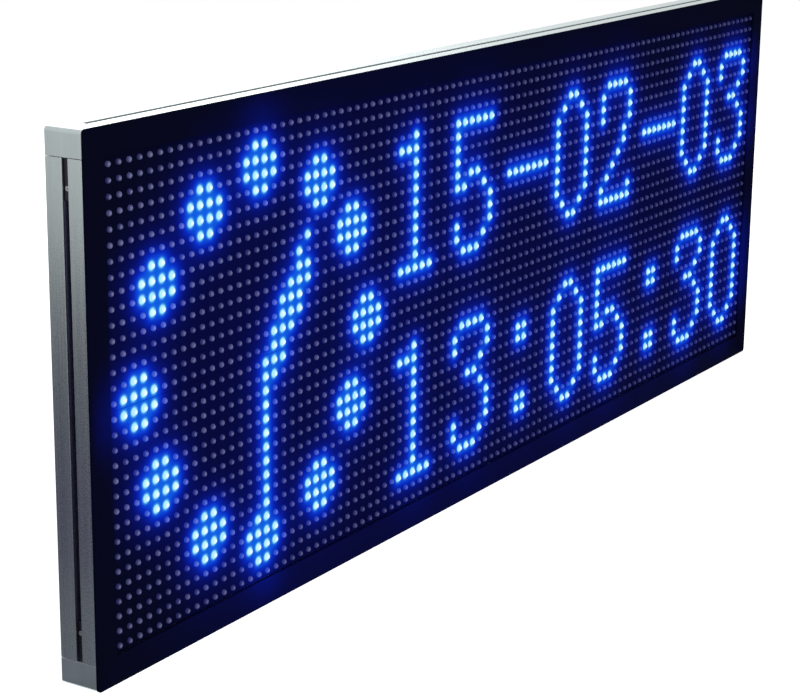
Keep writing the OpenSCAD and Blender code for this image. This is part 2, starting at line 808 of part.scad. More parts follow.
// A rubber membrane grommet: two lips round the edge of the cover's hole and a closed middle
module mains_grommet() {
    hole_r = grommet_hole / 2;
    lip_r = hole_r + grommet_lip;
    bore_r = hole_r - grommet_wall;
    top = cover_t + grommet_lip_t;
    color("#141416") pointing_back(grommet_x, cover_in, grommet_z) rotate_extrude() polygon([
        [0, 0], [bore_r, 0], [bore_r, -grommet_lip_t], [lip_r, -grommet_lip_t],
        [lip_r, 0], [hole_r, 0], [hole_r, cover_t], [lip_r, cover_t],
        [lip_r - grommet_lip_t / 2, top], [bore_r, top], [bore_r, grommet_web], [0, grommet_web]
    ]);
}

module cover_screws() { color("#7d8084") at_cover_screws() pan_screw(cover_screw_l); }

// Screws through the back cover into the power supply
module supply_screws() {
    color("#7d8084") for (sx = [-1, 1], sz = [-1, 1])
        pointing_back(sx * supply_screw_x, cover_out, height / 2 + sz * supply_screw_z)
            pan_screw(supply_screw_l);
}

for (s = SIDES) rail(s);
for (c = CORNERS) corner_piece(c);
for (s = SIDES) bezel(s);
for (m = [1 : module_count]) board(m);
for (m = [1 : module_count]) lamps_dark(m);
for (m = [1 : module_count]) lamps_lit(m);
for (m = [1 : module_count]) shell(m);
for (i = [1 : bar_count]) crossbar(i);
driver_chips();
ribbon_headers();
power_sockets();
ribbon_jumpers();
row_ribbons();
power_loom();
power_supply();
supply_terminals();
control_card();
card_parts();
card_standoffs();
back_cover();
mains_grommet();
corner_screws();
module_screws();
foot_screws();
cover_screws();
supply_screws();
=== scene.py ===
"""Looks of an LED matrix sign: glowing lamp boards, finishes, studio and camera."""

import logging
import math
from dataclasses import dataclass, field
from enum import Enum
from typing import Callable, Iterable, Sequence

import bpy
import numpy as np
from mathutils import Matrix, Quaternion, Vector


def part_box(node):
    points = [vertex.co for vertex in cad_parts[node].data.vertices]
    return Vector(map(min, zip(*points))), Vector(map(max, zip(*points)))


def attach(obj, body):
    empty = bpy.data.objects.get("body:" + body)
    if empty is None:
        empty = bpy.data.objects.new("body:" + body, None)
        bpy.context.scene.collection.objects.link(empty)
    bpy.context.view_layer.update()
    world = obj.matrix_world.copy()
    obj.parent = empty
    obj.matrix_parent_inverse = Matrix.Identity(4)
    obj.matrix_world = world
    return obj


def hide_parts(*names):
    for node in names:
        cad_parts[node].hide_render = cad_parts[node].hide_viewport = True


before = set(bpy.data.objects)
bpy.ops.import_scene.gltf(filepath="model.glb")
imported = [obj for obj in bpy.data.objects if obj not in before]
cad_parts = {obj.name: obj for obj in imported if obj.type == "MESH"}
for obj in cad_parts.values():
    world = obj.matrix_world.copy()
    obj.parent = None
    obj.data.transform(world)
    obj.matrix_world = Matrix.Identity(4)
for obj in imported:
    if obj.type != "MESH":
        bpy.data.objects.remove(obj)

Color = tuple[float, float, float]
Place = tuple[float, float, float]
Span = tuple[float, float]
Stop = tuple[float, Color]
Socket = bpy.types.NodeSocket
Piece = bpy.types.Object

MM = 0.001
BODY = "root"
MODULES = range(1, 7)
CROSSBARS = range(1, 5)

# Attributes on the meshes: the light spilt on a vertex, and whether a face's own lamp is lit.
SPILL = "spill"
OWN = "lit"

# Modelling: the bend of a flat, the gap of doubles, and how squarely a face looks one way.
FLAT = math.radians(1.0)
MERGE = 0.01 * MM
FACING = 0.9

# Patterns: the whole range of a value, and the middle that most of a noise lies in.
UNIT: Span = (0.0, 1.0)
MIDDLE: Span = (0.3, 0.7)

# Parts of a pitch: halves reach from a lamp's axis to its cell's edge, fifths to its rim.
HALVES = 2.0
FIFTHS = 5.0

ZERO: Place = (0.0, 0.0, 0.0)
WHITE: Color = (1.0, 1.0, 1.0)
ALUMINIUM: Color = (0.43, 0.485, 0.485)

log = logging.getLogger("led_sign")


class Axis(Enum):
    """Direction that a grain or a line of tooling runs along."""

    X = (1.0, 0.0, 0.0)
    Y = (0.0, 1.0, 0.0)
    Z = (0.0, 0.0, 1.0)


class Side(Enum):
    """A side of the sign."""

    TOP = "top"
    BOTTOM = "bottom"
    LEFT = "left"
    RIGHT = "right"


class Facing(Enum):
    """Which way a face looks while a piece is modelled."""

    UP = 1.0
    DOWN = -1.0


class Pick(Enum):
    """What edit mode selects."""

    POINTS = "VERT"
    FACES = "FACE"


class LampState(Enum):
    """Whether a lamp is on."""

    DARK = "dark"
    LIT = "lit"


def shade(color: Color, factor: float) -> Color:
    """Returns a colour made lighter or darker by a factor."""
    return (color[0] * factor, color[1] * factor, color[2] * factor)


def turn_to(place: Place, aim: Place) -> Quaternion:
    """Returns the turn that points a lamp or a camera from one place at another."""
    return (Vector(aim) - Vector(place)).to_track_quat("-Z", "Y")


class Graph:
    """Builder for the node graph of one material, or of the world."""

    # Numbers of the mix node's colour sockets.
    FIRST, SECOND, MIXED = 6, 7, 2

    def __init__(self, owner: bpy.types.Material | bpy.types.World) -> None:
        """Starts from the owner's plain shader.

        Args:
            owner: the new material or world.
        """
        owner.use_nodes = True
        self.owner = owner
        self.tree = owner.node_tree
        plain = "Background" if isinstance(owner, bpy.types.World) else "Principled BSDF"
        self.shader = self.tree.nodes[plain]

    def set(self, **values: float | Color) -> None:
        """Sets constant inputs of the shader.

        Args:
            values: socket names with underscores for spaces, and their values.
        """
        for key, value in values.items():
            socket = self.shader.inputs[key.replace("_", " ")]
            socket.default_value = (*value, 1.0) if isinstance(value, tuple) else value

    def feed(self, **sources: Socket) -> None:
        """Links sources to inputs of the shader, which are named as in set."""
        for key, source in sources.items():
            self.tree.links.new(source, self.shader.inputs[key.replace("_", " ")])

    def node(self, kind: str, inputs: dict | None = None, **settings: object) -> bpy.types.Node:
        """Adds a node.

        Args:
            kind: the node's type, without its prefix.
            inputs: sockets by name or number, each with a value or a source to link.
            settings: the node's own properties.

        Returns:
            The new node.
        """
        made = self.tree.nodes.new("ShaderNode" + kind)
        for key, value in settings.items():
            setattr(made, key, value)
        for key, value in (inputs or {}).items():
            if isinstance(value, Socket):
                self.tree.links.new(value, made.inputs[key])
            else:
                made.inputs[key].default_value = value
        return made

    def point(self) -> Socket:
        """Returns the place on the piece, in metres."""
        return self.node("TexCoord").outputs["Object"]

    def axes(self) -> tuple[Socket, Socket, Socket]:
        """Returns the place on the piece as its three coordinates."""
        return tuple(self.node("SeparateXYZ", {0: self.point()}).outputs)

    def math(self, kind: str, a: Socket | float, b: Socket | float = 0.0) -> Socket:
        """Returns the result of a sum on two values or sources."""
        return self.node("Math", {0: a, 1: b}, operation=kind).outputs[0]

    def weigh(self, a: Socket, share: float, b: Socket) -> Socket:
        """Returns two values added up, by the share of the first."""
        rest = self.math("MULTIPLY", b, 1.0 - share)
        return self.math("ADD", self.math("MULTIPLY", a, share), rest)

    def vector(self, kind: str, a: Socket, b: Socket | Place = ZERO, out: str = "Vector") -> Socket:
        """Returns the result of a vector sum on two places or sources."""
        return self.node("VectorMath", {0: a, 1: b}, operation=kind).outputs[out]

    def blend(self, share: Socket, a: Socket, b: Socket) -> Socket:
        """Returns two colours mixed by the share of the second."""
        sources = {"Factor": share, self.FIRST: a, self.SECOND: b}
        return self.node("Mix", sources, data_type="RGBA").outputs[self.MIXED]

    def scaled(self, scale: float | Place) -> Socket:
        """Returns the place on the piece in cells, by the cells per metre."""
        each = (scale,) * 3 if isinstance(scale, float) else scale
        return self.vector("MULTIPLY", self.point(), each)

    def noise(self, scale: float | Place, detail: float = 3.0, rough: float = 0.55) -> Socket:
        """Returns a noise of about 0 to 1, by its cells per metre, octaves and their weight."""
        values = {"Vector": self.scaled(scale), "Scale": 1.0, "Detail": detail, "Roughness": rough}
        return self.node("TexNoise", values).outputs["Fac"]

    def cells(self, scale: float, **settings: str) -> Socket:
        """Returns the distance from the nearest cell's middle, by the cells per metre."""
        values = {"Vector": self.scaled(scale), "Scale": 1.0}
        return self.node("TexVoronoi", values, **settings).outputs["Distance"]

    def fit(self, value: Socket, span: Span, to: Span, smooth: bool = False) -> Socket:
        """Maps a value from one range to another.

        Args:
            value: the source.
            span: the source's range.
            to: the new range.
            smooth: ease both ends.

        Returns:
            The mapped value, held within the new range.
        """
        kind = "SMOOTHSTEP" if smooth else "LINEAR"
        ends = {"From Min": span[0], "From Max": span[1], "To Min": to[0], "To Max": to[1]}
        made = self.node("MapRange", {"Value": value, **ends}, interpolation_type=kind)
        return made.outputs["Result"]

    def ramp(self, value: Socket, stops: Sequence[Stop]) -> Socket:
        """Finds a colour along a row of stops.

        Args:
            value: place along the row, 0 to 1.
            stops: places and their colours, in order.

        Returns:
            The colour.
        """
        made = self.node("ValToRGB", {"Fac": value})
        elements = made.color_ramp.elements
        while len(elements) < len(stops):
            elements.new(1.0)
        for element, (place, color) in zip(elements, stops):
            element.position = place
            element.color = (*color, 1.0)
        return made.outputs["Color"]

    def swing(self, value: Socket, color: Color, vary: float, span: Span = MIDDLE) -> Socket:
        """Returns a colour that goes from darker to lighter by a share, over a value's span."""
        stops = ((span[0], shade(color, 1.0 - vary)), (span[1], shade(color, 1.0 + vary)))
        return self.ramp(value, stops)

    def attribute(self, name: str) -> Socket:
        """Returns a value stored on the piece's own mesh."""
        return self.node("Attribute", attribute_name=name).outputs["Fac"]

    def bump(
            self, height: Socket, strength: float, distance: float,
            normal: Socket | None = None) -> Socket:
        """Makes a normal from a height.

        Args:
            height: the height, 0 to 1.
            strength: share of the relief that shows.
            distance: height in metres of a full step.
            normal: the normal to start from.

        Returns:
            The new normal.
        """
        values = {"Height": height, "Strength": strength, "Distance": distance}
        if normal is not None:
            values["Normal"] = normal
        return self.node("Bump", values).outputs["Normal"]

    def soft_edge(self, radius: float) -> Socket:
        """Returns a normal that rounds the edges by a radius in metres."""
        return self.node("Bevel", {"Radius": radius}, samples=4).outputs["Normal"]

    def glow(self, color: Socket, lights: bool = False) -> None:
        """Makes the surface glow.

        Args:
            color: the glow's colour.
            lights: whether the glow is sampled as a lamp.
        """
        self.feed(Emission_Color=color)
        self.set(Emission_Strength=1.0)
        if not lights:
            self.owner.cycles.emission_sampling = "NONE"

    def seen(self) -> Socket:
        """Tells the rays that see a background from those that only light by it.

        Returns:
            1 on rays of the camera, reflections and see-through surfaces, and otherwise 0.
        """
        path = self.node("LightPath").outputs
        mirrored = self.math("MAXIMUM", path["Is Camera Ray"], path["Is Glossy Ray"])
        return self.math("MAXIMUM", mirrored, path["Is Transmission Ray"])


@dataclass(frozen=True)
class Finish:
    """A grained surface: one colour that varies, with roughness and relief from the same grain.

    Attributes:
        name: the material's name.
        color: mean colour.
        vary: how far the colour swings either way, as a share.
        rough: lowest and highest roughness.
        grain: cells of the grain per metre.
        relief: height of the grain's relief in metres.
        metallic: share of bare metal.
        specular: level of the clear reflection.
        edge: radius of the edges in metres, or none.
        cloud: cells of the slow clouding per metre.
        share: share of the fine pattern in the tone, beside the slow one.
        span: span of the tone over which the colour swings.
        show: share of the relief that shows.
    """

    name: str
    color: Color
    vary: float = 0.12
    rough: Span = (0.5, 0.65)
    grain: float = 900.0
    relief: float = 0.00004
    metallic: float = 0.0
    specular: float = 0.5
    edge: float = 0.0
    cloud: float = 14.0
    share: float = 0.6
    span: Span = (0.25, 0.75)
    show: float = 0.5

    def make(self) -> bpy.types.Material:
        """Makes the finish.

        Returns:
            The material.
        """
        graph = Graph(bpy.data.materials.new(self.name))
        graph.set(Metallic=self.metallic, Specular_IOR_Level=self.specular)
        self.paint(graph)
        return graph.owner

    def start_normal(self, graph: Graph) -> Socket | None:
        """Returns the normal of the softened edges, or none where the edges stay sharp."""
        return graph.soft_edge(self.edge) if self.edge else None

    def paint(self, graph: Graph) -> None:
        """Fills a graph with the grain, the tone and the relief.

        Args:
            graph: the material's graph.
        """
        grain = graph.noise(self.grain)
        tone = graph.weigh(grain, self.share, graph.noise(self.cloud, detail=2.0))
        graph.feed(
            Base_Color=graph.swing(tone, self.color, self.vary, self.span),
            Roughness=graph.fit(tone, MIDDLE, self.rough),
            Normal=graph.bump(grain, self.show, self.relief, self.start_normal(graph)))


@dataclass(frozen=True)
class DrawnMetal(Finish):
    """Extruded or rolled metal, with die lines along one axis.

    Attributes:
        along: the axis that the lines run along.
        lines: cells of the fine lines per metre, across and along the axis.
        streaks: cells of the broad streaks per metre, across and along the axis.
        sheen: span of the lines and the grain together over which the roughness rises.
    """

    along: Axis = Axis.X
    lines: Span = (2600.0, 5.0)
    streaks: Span = (120.0, 2.0)
    sheen: Span = (0.1, 0.4)
    grain: float = 2200.0
    relief: float = 0.00002
    metallic: float = 1.0
    share: float = 0.5
    span: Span = MIDDLE
    show: float = 0.35

    def drawn(self, graph: Graph, cells: Span, detail: float, rough: float = 0.55) -> Socket:
        """Returns a noise drawn out along the axis, by its cells across and along it."""
        scale = tuple(cells[0] if part == 0.0 else cells[1] for part in self.along.value)
        return graph.noise(scale, detail, rough)

    def tone(self, graph: Graph, lines: Socket) -> Socket:
        """Returns the metal's colour from its fine lines and its broad streaks."""
        mixed = graph.weigh(lines, self.share, self.drawn(graph, self.streaks, detail=1.0))
        return graph.swing(mixed, self.color, self.vary, self.span)

    def paint(self, graph: Graph) -> None:
        """Fills a graph with the die lines, a slow streak and a satin sheen.

        Args:
            graph: the material's graph.
        """
        lines = self.drawn(graph, self.lines, detail=2.0, rough=0.6)
        worn = graph.math("MULTIPLY", lines, graph.noise(self.grain, detail=1.0))
        graph.feed(
            Base_Color=self.tone(graph, lines),
            Roughness=graph.fit(worn, self.sheen, self.rough),
            Normal=graph.bump(lines, self.show, self.relief, self.start_normal(graph)))


@dataclass(frozen=True)
class FrameMetal(DrawnMetal):
    """The frame's aluminium: satin outside, with painted shade inside the slots and on the front
    flanges' tips.

    Attributes:
        half_width: from the sign's middle to the frame's ends.
        height: height of the frame.
        slot: half the width of a slot behind its lips, and where its painted shade has ended.
        lip: depth in a slot over which its painted shade begins.
        tips: depth over which the tips of the rails' front flanges turn to their painted shade and
            painted blue lamp light.
        slot_shade: colour inside the slots, a painted shade.
        shadow: colour of the tips, which lie in the gap round the boards, a painted shade with
            painted blue lamp light in it.
        dirt: how far these two painted colours swing either way with the die lines, as a share.
    """

    half_width: float = 499 * MM
    height: float = 358 * MM
    slot: Span = (5.1 * MM, 5.304 * MM)
    lip: Span = (0.85 * MM, 1.7 * MM)
    tips: Span = (17 * MM, 17.5 * MM)
    slot_shade: Color = (0.22, 0.23, 0.25)
    shadow: Color = (0.03, 0.035, 0.12)
    dirt: float = 0.3

    def depth(self, graph: Graph) -> Socket:
        """Finds the depth below the frame's outer faces.

        Args:
            graph: the material's graph.

        Returns:
            The depth, in metres.
        """
        x, _, z = graph.axes()
        end = graph.math("SUBTRACT", self.half_width, graph.math("ABSOLUTE", x))
        level = graph.math("MINIMUM", z, graph.math("SUBTRACT", self.height, z))
        return graph.math("MINIMUM", end, level)

    def inside(self, graph: Graph, depth: Socket) -> Socket:
        """Finds what lies in a slot, where the shade is painted.

        Args:
            graph: the material's graph.
            depth: the depth below the outer faces.

        Returns:
            0 on the outer faces, rising to 1 behind a slot's lips.
        """
        deep = graph.fit(depth, self.lip, UNIT, smooth=True)
        across = graph.math("ABSOLUTE", graph.axes()[1])
        return graph.math("MULTIPLY", deep, graph.fit(across, self.slot, (1.0, 0.0)))

    def tone(self, graph: Graph, lines: Socket) -> Socket:
        """Blends the outer faces' colour to painted shade in the slots, and on the tips to painted
        shade with painted blue lamp light.

        Args:
            graph: the material's graph.
            lines: the fine die lines.

        Returns:
            The colour.
        """
        depth = self.depth(graph)
        # Painted shade: the colour inside the slots stands in for the shade behind the lips.
        slot_shade = graph.swing(lines, self.slot_shade, self.dirt)
        slotted = graph.blend(self.inside(graph, depth), super().tone(graph, lines), slot_shade)
        # Painted shade and painted blue lamp light on the tips of the front flanges.
        shadow = graph.swing(lines, self.shadow, self.dirt)
        return graph.blend(graph.fit(depth, self.tips, UNIT), slotted, shadow)


@dataclass(frozen=True)
class PowderCoat(Finish):
    """Fine-texture powder coat: small pimples over a slow orange-peel wave.

    Attributes:
        pimple: span of a cell's distance over which a pimple falls off.
        wave: cells of the wave per metre.
        peel: height of the wave, as a share of a pimple's.
    """

    pimple: Span = (0.1, 0.8)
    wave: float = 260.0
    peel: float = 0.7
    grain: float = 1400.0
    cloud: float = 9.0
    share: float = 0.35
    span: Span = (0.2, 0.8)
    show: float = 0.45

    def paint(self, graph: Graph) -> None:
        """Fills a graph with the pimples, the wave and a fine sparkle of tone.

        Args:
            graph: the material's graph.
        """
        cells = graph.cells(self.grain, feature="SMOOTH_F1")
        pimples = graph.fit(cells, self.pimple, (1.0, 0.0), smooth=True)
        wave = graph.math("MULTIPLY", graph.noise(self.wave, detail=1.0), self.peel)
        tone = graph.weigh(pimples, self.share, graph.noise(self.cloud))
        graph.feed(
            Base_Color=graph.swing(tone, self.color, self.vary, self.span),
            Roughness=graph.fit(tone, self.span, self.rough),
            Normal=graph.bump(graph.math("ADD", pimples, wave), self.show, self.relief))


@dataclass(frozen=True)
class StripedCable(Finish):
    """Flat cable: parallel cores side by side, with a groove between each pair.

    Attributes:
        core: width of one core in metres.
        soil: how far dirt darkens the cable, as shares of its tone.
        groove: colour at the foot of a groove, as a share of the cable's, a painted shade.
        crown: height at which a core has its full colour.
    """

    core: float = 1.27 * MM
    soil: Span = (0.7, 1.0)
    groove: float = 0.6
    crown: float = 0.8
    grain: float = 300.0
    span: Span = (0.2, 0.8)
    show: float = 0.6

    def paint(self, graph: Graph) -> None:
        """Fills a graph with the cores' grooves, painted shade at their feet, and a little dirt all
        over.

        Args:
            graph: the material's graph.
        """
        x, _, z = graph.axes()
        across = graph.math("PINGPONG", graph.math("ADD", x, z), self.core / 2)
        height = graph.fit(across, (0.0, self.core / 2), UNIT, smooth=True)
        dirt = graph.noise(self.grain)
        tone = graph.math("MULTIPLY", height, graph.fit(dirt, self.span, self.soil))
        # Painted shade at the foot of each groove.
        stops = ((0.0, shade(self.color, self.groove)), (self.crown, self.color))
        graph.feed(
            Base_Color=graph.ramp(tone, stops),
            Roughness=graph.fit(dirt, MIDDLE, self.rough),
            Normal=graph.bump(height, self.show, self.relief))


@dataclass(frozen=True)
class SolderMask(Finish):
    """Circuit board lacquer: copper tracks show as slightly paler bands under it.

    Attributes:
        track: span of a cell's distance over which a track begins.
        copper: colour over a track, as a share of the lacquer's.
    """

    track: Span = (0.3, 0.36)
    copper: float = 1.7
    grain: float = 420.0
    cloud: float = 500.0
    share: float = 0.7
    span: Span = (0.1, 0.9)
    show: float = 0.4

    def paint(self, graph: Graph) -> None:
        """Fills a graph with a maze of tracks under glossy lacquer.

        Args:
            graph: the material's graph.
        """
        cells = graph.cells(self.grain, distance="CHEBYCHEV")
        track = graph.fit(cells, self.track, UNIT, smooth=True)
        dust = graph.noise(self.cloud)
        stops = ((self.span[0], self.color), (self.span[1], shade(self.color, self.copper)))
        graph.feed(
            Base_Color=graph.ramp(graph.weigh(track, self.share, dust), stops),
            Roughness=graph.fit(dust, MIDDLE, self.rough),
            Normal=graph.bump(track, self.show, self.relief))


@dataclass(frozen=True)
class LampLayout:
    """Places of the lamps on the front.

    Attributes:
        pitch: distance between neighbours.
        left: outer edge of the first column's cells.
        top: outer edge of the first row's cells.
    """

    pitch: float = 10 * MM
    left: float = -480 * MM
    top: float = 339 * MM

    def cell(self, points: np.ndarray) -> np.ndarray:
        """Returns the column and row of each point of an array of places."""
        away = np.c_[points[:, 0] - self.left, self.top - points[:, 2]]
        return np.floor(away / self.pitch).astype(int)

    def centre(self, cells: np.ndarray) -> np.ndarray:
        """Returns the place of each cell's middle, at depth 0."""
        away = (cells + 0.5) * self.pitch
        return np.c_[self.left + away[:, 0], np.zeros(len(cells)), self.top - away[:, 1]]

    def count(self, graph: Graph) -> Socket:
        """Returns the place in pitches from the first cell's outer corner, with no depth."""
        shifted = graph.vector("SUBTRACT", graph.point(), (self.left, 0.0, self.top))
        return graph.vector("MULTIPLY", shifted, (1 / self.pitch, 0.0, 1 / self.pitch))

    def offset(self, graph: Graph, parts: float) -> Socket:
        """Finds the distance from the nearest lamp's axis.

        Args:
            graph: the material's graph.
            parts: the parts of a pitch that the distance is counted in.

        Returns:
            The distance.
        """
        place = graph.vector("FRACTION", self.count(graph))
        away = graph.vector("DISTANCE", place, (0.5, 0.0, 0.5), out="Value")
        return graph.math("MULTIPLY", away, parts)

    def across_lens(self, graph: Graph, vary: Span) -> Socket:
        """Finds the place across a lens, a little different from lamp to lamp.

        Args:
            graph: the material's graph.
            vary: least and most that a lamp's own factor may be.

        Returns:
            The distance from the axis in fifths of a pitch, times the lamp's own factor.
        """
        number = graph.vector("FLOOR", self.count(graph))
        draw = graph.node("TexWhiteNoise", {"Vector": number}, noise_dimensions="3D")
        own = graph.fit(draw.outputs["Value"], UNIT, vary)
        return graph.math("MULTIPLY", self.offset(graph, FIFTHS), own)


LAYOUT = LampLayout()


@dataclass(frozen=True)
class GlowBlack(Finish):
    """Flat black front lacquer that shows the spill of the lit lamps.

    Attributes:
        halo: a lit lamp's own glow, by the distance from its axis in half pitches.
        haze: the glow of all the lit lamps together, by the spilt light.
    """

    halo: Sequence[Stop] = (
        (0.40, (0.50, 0.86, 0.30)),
        (0.50, (0.34, 0.66, 0.25)),
        (0.60, (0.15, 0.42, 0.18)),
        (0.70, (0.045, 0.17, 0.09)),
        (0.82, (0.010, 0.05, 0.03)),
        (1.00, (0.0, 0.0, 0.0)),
    )
    haze: Sequence[Stop] = (
        (0.000, (0.0002, 0.0004, 0.001)),
        (0.036, (0.0003, 0.0006, 0.009)),
        (0.060, (0.0004, 0.0010, 0.036)),
        (0.220, (0.0006, 0.0040, 0.150)),
        (0.530, (0.0008, 0.0120, 0.370)),
        (0.750, (0.0012, 0.0220, 0.510)),
        (0.920, (0.0020, 0.0600, 0.680)),
        (1.000, (0.0040, 0.1200, 0.760)),
    )
    grain: float = 1500.0
    relief: float = 0.00002
    show: float = 0.4

    def paint(self, graph: Graph) -> None:
        """Fills a graph with the lacquer's grain and the glow's colours.

        Args:
            graph: the material's graph.
        """
        grain = graph.noise(self.grain)
        graph.feed(
            Base_Color=graph.swing(grain, self.color, self.vary),
            Roughness=graph.fit(grain, MIDDLE, self.rough),
            Normal=graph.bump(grain, self.show, self.relief))
        near = graph.ramp(LAYOUT.offset(graph, HALVES), self.halo)
        lamp = {0: near, "Scale": graph.attribute(OWN)}
        own = graph.node("VectorMath", lamp, operation="SCALE").outputs["Vector"]
        graph.glow(graph.vector("ADD", own, graph.ramp(graph.attribute(SPILL), self.haze)))


@dataclass(frozen=True)
class DarkLens(Finish):
    """Milky epoxy of a lamp that is off, with painted shading, pale in the middle and dark at the
    rim, and with its neighbours' light in it.

    Attributes:
        body: the dome's colour by the distance from its axis, in fifths of a pitch, a painted
            shading that darkens towards the rim.
        caught: the light that it catches, by the spilt light.
        forward: how far the light inside evens out the dome's shading, as a share.
        own: least and most of a lamp's own factor on the distance.
    """

    body: Sequence[Stop] = (
        (0.0, (0.180, 0.183, 0.260)),
        (0.42, (0.145, 0.148, 0.216)),
        (0.75, (0.072, 0.074, 0.120)),
        (1.0, (0.020, 0.021, 0.042)),
    )
    caught: Sequence[Stop] = (
        (0.0, (0.0, 0.0, 0.003)),
        (0.06, (0.007, 0.009, 0.092)),
        (0.2, (0.005, 0.014, 0.25)),
        (0.4, (0.006, 0.038, 0.46)),
        (1.0, (0.020, 0.120, 0.80)),
    )
    forward: float = 0.65
    own: Span = (0.88, 1.16)
    relief: float = 0.00001
    show: float = 0.2

    def evened(self, graph: Graph) -> Socket:
        """Turns the dome's normals towards the front.

        Args:
            graph: the material's graph.

        Returns:
            The normal.
        """
        share = 1.0 - self.forward
        turned = graph.vector("MULTIPLY", graph.node("TexCoord").outputs["Normal"], (share,) * 3)
        forward = graph.vector("ADD", turned, (0.0, -self.forward, 0.0))
        return graph.vector("NORMALIZE", forward)

    def paint(self, graph: Graph) -> None:
        """Fills a graph with the lamp's tone and painted shading, a little different from lamp to
        lamp.

        Args:
            graph: the material's graph.
        """
        haze = graph.noise(self.grain)
        # Painted shading: paler on the axis, darker towards the dome's rim.
        graph.feed(
            Base_Color=graph.ramp(LAYOUT.across_lens(graph, self.own), self.body),
            Roughness=graph.fit(haze, MIDDLE, self.rough),
            Normal=graph.bump(haze, self.show, self.relief, self.evened(graph)))
        graph.glow(graph.ramp(graph.attribute(SPILL), self.caught))


@dataclass(frozen=True)
class LitLens(Finish):
    """Epoxy of a lamp that is on: a hot middle in a cooler rim.

    Attributes:
        heat: the glow's colour by the distance from the axis, in fifths of a pitch.
        own: least and most of a lamp's own factor on the distance.
    """

    heat: Sequence[Stop] = (
        (0.0, (0.84, 0.96, 0.83)),
        (0.5, (0.78, 0.96, 0.90)),
        (0.8, (0.62, 0.92, 0.95)),
        (1.0, (0.42, 0.80, 0.95)),
    )
    own: Span = (0.85, 1.15)

    def paint(self, graph: Graph) -> None:
        """Fills a graph with the glow, hottest on the lamp's axis.

        Args:
            graph: the material's graph.
        """
        haze = graph.noise(self.grain)
        graph.feed(
            Base_Color=graph.swing(haze, self.color, self.vary),
            Roughness=graph.fit(haze, MIDDLE, self.rough))
        heat = graph.ramp(LAYOUT.across_lens(graph, self.own), self.heat)
        graph.glow(heat, lights=True)


class Look(Enum):
    """The finishes of the sign's pieces."""

    # The colours inside the slots are painted shade; on the corner castings they paint the tenons
    # in the slots near black.
    RAIL_ACROSS = FrameMetal(
        "rail_across_aluminium", ALUMINIUM, 0.10, (0.36, 0.48), relief=0.00003, edge=0.0003)
    RAIL_UPRIGHT = FrameMetal(
        "rail_upright_aluminium", ALUMINIUM, 0.10, (0.23, 0.32), relief=0.00003, edge=0.0003,
        along=Axis.Z, slot_shade=(0.29, 0.29, 0.40))
    CORNER = FrameMetal(
        "corner_casting", shade(ALUMINIUM, 1.08), 0.07, (0.30, 0.40), edge=0.0004,
        along=Axis.Z, lines=(900.0, 5.0), slot_shade=(0.035, 0.035, 0.045))
    FRONT = GlowBlack(
        "front_black", (0.0012, 0.0013, 0.0030), 0.3, (0.75, 0.9), specular=0.01)
    LAMP_DARK = DarkLens("lamp_epoxy_dark", (0.1, 0.1, 0.13), rough=(0.35, 0.5), specular=0.0)
    LAMP_LIT = LitLens("lamp_epoxy_lit", (0.02, 0.03, 0.05), 0.1, (0.35, 0.5), specular=0.1)
    SHELL = Finish("back_frame_plastic", (0.018, 0.018, 0.02), 0.2, (0.5, 0.7))
    CROSSBAR = DrawnMetal(
        "crossbar_aluminium", (0.5, 0.52, 0.53), 0.1, (0.4, 0.55), edge=0.0003, along=Axis.Z)
    CHIP = Finish("chip_moulding", (0.016, 0.016, 0.018), 0.2, (0.55, 0.7))
    HEADER = Finish("header_moulding", (0.022, 0.022, 0.025), 0.2, (0.45, 0.6), edge=0.0002)
    SOCKET = Finish("socket_nylon", (0.66, 0.64, 0.58), 0.06, (0.4, 0.55), edge=0.0003)
    RIBBON = StripedCable("flat_cable", (0.34, 0.35, 0.37), rough=(0.45, 0.6), relief=0.0002)
    LOOM = StripedCable(
        "loom_wires", (0.25, 0.02, 0.02), rough=(0.4, 0.55), relief=0.0004, core=2 * MM)
    SUPPLY = DrawnMetal(
        "supply_case_sheet", (0.55, 0.57, 0.58), 0.08, (0.35, 0.5), edge=0.0004)
    CARD = SolderMask("card_lacquer", (0.012, 0.09, 0.045), rough=(0.25, 0.4), relief=0.00003)
    BRASS = DrawnMetal("standoff_brass", (0.62, 0.47, 0.2), 0.08, (0.25, 0.4), along=Axis.Y)
    COVER = PowderCoat(
        "cover_powder_coat", (0.030, 0.031, 0.034), 0.2, (0.5, 0.68), relief=0.00006, specular=0.4)
    GROMMET = Finish("grommet_rubber", (0.014, 0.014, 0.015), 0.25, (0.6, 0.8), edge=0.0004)
    SCREW = DrawnMetal(
        "zinc_screw", (0.46, 0.47, 0.48), 0.12, (0.28, 0.42), edge=0.0002, along=Axis.Y)


class Dresser:
    """Makes each finish once and puts it on pieces."""

    def __init__(self) -> None:
        """Starts with no finish made."""
        self.made: dict[Look, bpy.types.Material] = {}

    def dress(self, piece: Piece, look: Look) -> None:
        """Puts a finish all over a piece, and makes it on first use.

        Args:
            piece: the piece.
            look: the finish.
        """
        if look not in self.made:
            self.made[look] = look.value.make()
        piece.data.materials.clear()
        piece.data.materials.append(self.made[look])
        log.info("%s wears %s", piece.name, look.value.name)

    def dress_piece(self, piece: Piece, look: Look, node: str) -> None:
        """Puts a finish on a new piece and lets it stand for a CAD node.

        Args:
            piece: the piece.
            look: the finish.
            node: the CAD node that it replaces.
        """
        self.dress(piece, look)
        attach(piece, BODY)
        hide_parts(node)


